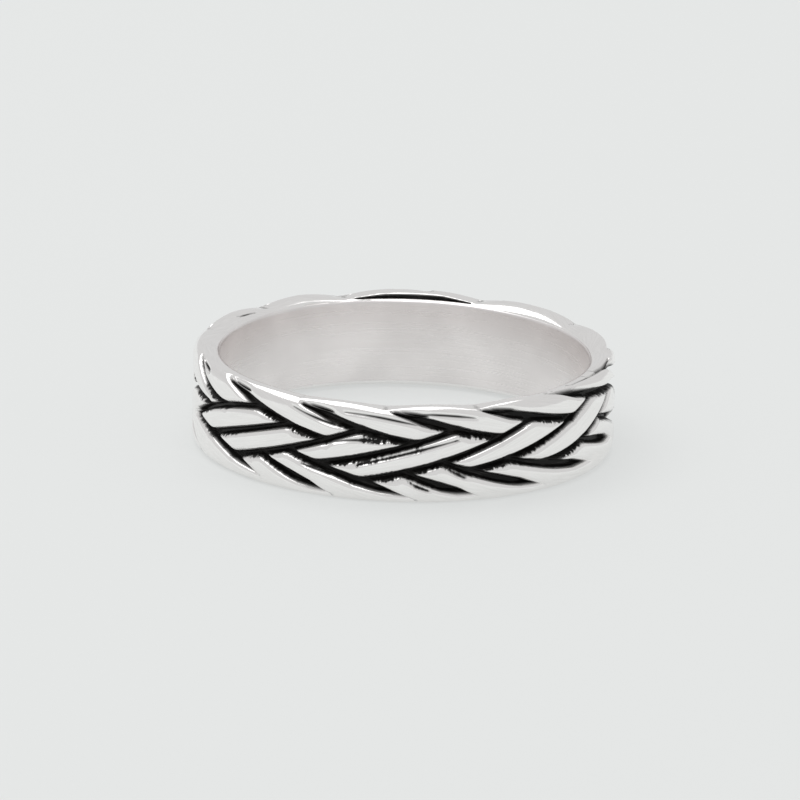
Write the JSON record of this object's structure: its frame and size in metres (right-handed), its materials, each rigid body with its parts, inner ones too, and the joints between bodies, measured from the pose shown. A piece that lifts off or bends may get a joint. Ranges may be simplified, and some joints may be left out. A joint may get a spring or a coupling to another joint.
{
  "type": "braided band ring",
  "caption": "Finger ring with a plain round sleeve inside and a raised braid of interlaced strands round the outside.",
  "frame": {"origin": "on the finger axis, in the plane of the ring's lowest strands, where it rests lying on its side", "axes": "+Z along the finger axis, upwards; -Y towards the side of the band that the picture shows as its front; +X to the right as seen from that side"},
  "size_m": [0.0218, 0.0218, 0.0051],
  "materials": {
    "silver": "polished strand crowns, satin inside, blackened grooves"
  },
  "bodies": {
    "root": {"braided_band": "silver"}
  },
  "joints": []
}
